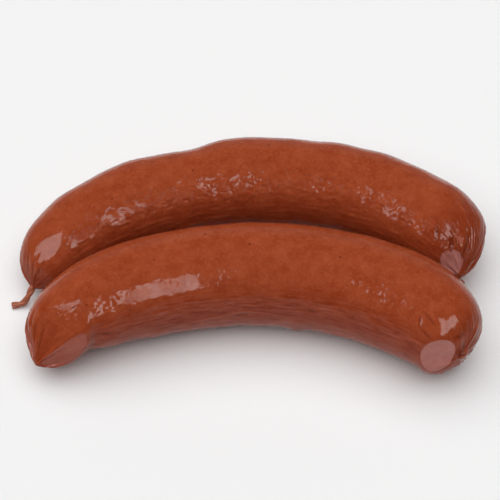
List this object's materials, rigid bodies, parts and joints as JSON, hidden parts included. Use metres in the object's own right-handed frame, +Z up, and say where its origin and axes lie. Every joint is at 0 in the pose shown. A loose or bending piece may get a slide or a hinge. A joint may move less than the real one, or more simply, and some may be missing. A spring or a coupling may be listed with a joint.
{
  "type": "string of smoked sausage links",
  "caption": "Curved smoked sausage links in natural casing, lying side by side, joined by twisted casing at one end, with a short casing tail at the other.",
  "frame": {"origin": "middle of the whole string's footprint, on the surface that it rests on", "axes": "+X along the links, from the end with the casing tail to the joined end, +Y from the front link to the back link, +Z up"},
  "size_m": [0.1622, 0.0922, 0.0345],
  "materials": {
    "smoked_casing": "glossy",
    "dried_casing": "satin"
  },
  "bodies": {
    "root": {"link_front": "smoked_casing", "link_back": "smoked_casing", "casing_twist": "dried_casing"}
  },
  "joints": []
}
